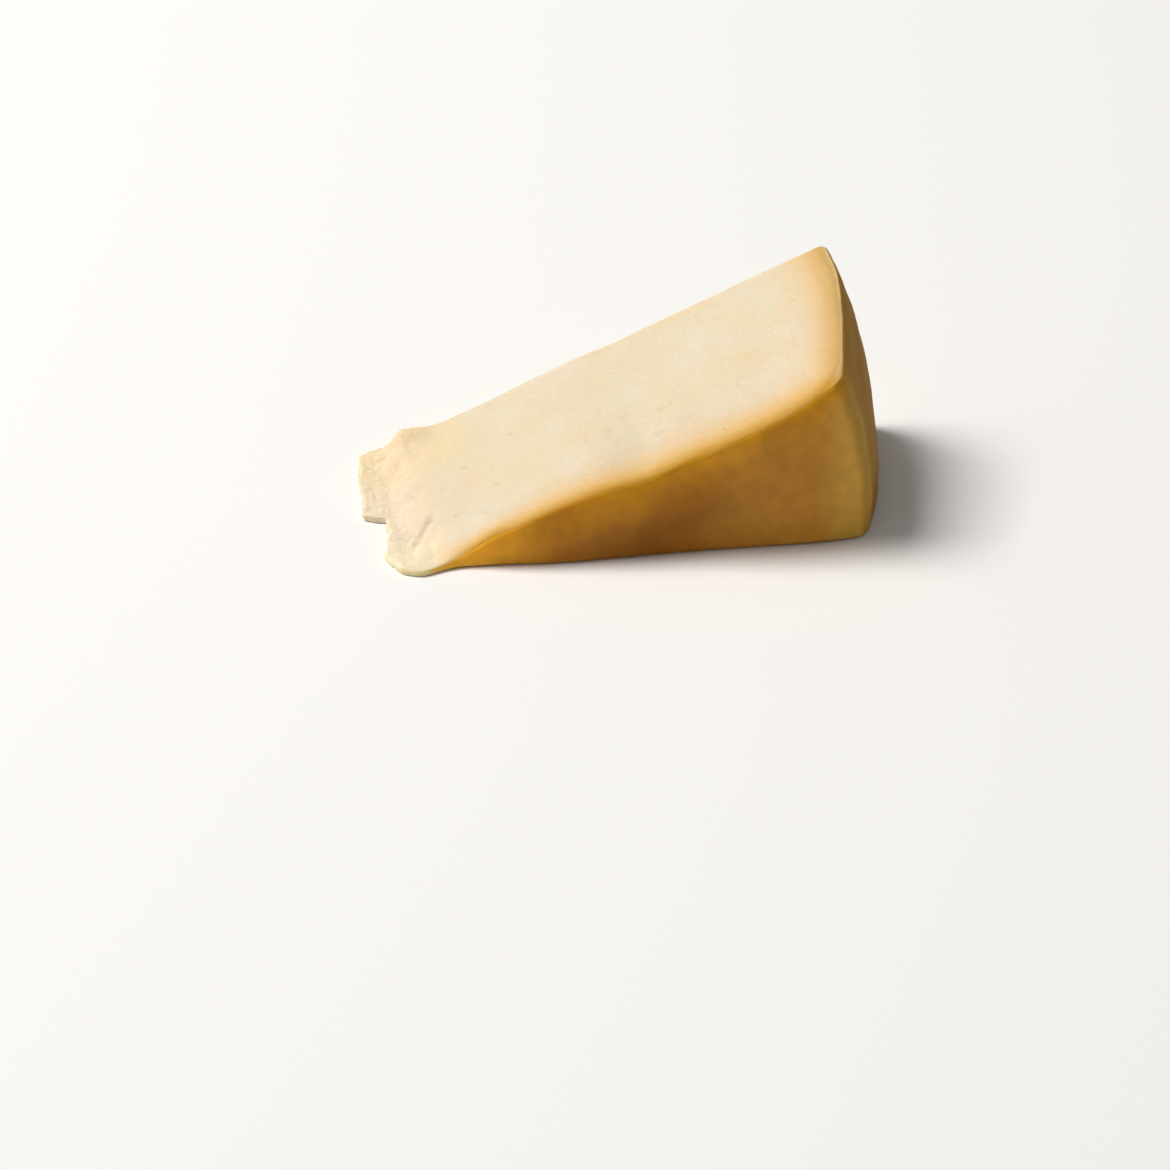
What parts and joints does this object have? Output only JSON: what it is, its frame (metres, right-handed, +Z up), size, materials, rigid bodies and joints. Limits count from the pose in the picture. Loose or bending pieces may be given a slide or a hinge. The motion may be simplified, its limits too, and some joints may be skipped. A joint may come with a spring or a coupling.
{
  "type": "parmesan",
  "caption": "Wedge of hard aged cheese with a brown rind along its front face and curved rim and a crumbled tip, lying on one cut face.",
  "frame": {"origin": "on the lower cut face, under the middle of the wedge's bounding box", "axes": "+X from the crumbled tip to the curved rind rim, +Y from the front rind face to the cut at the back, +Z up from the lower cut face"},
  "size_m": [0.2308, 0.1074, 0.091],
  "materials": {
    "cheese": "matte"
  },
  "bodies": {
    "root": {"cheese_wedge": "cheese"}
  },
  "joints": []
}
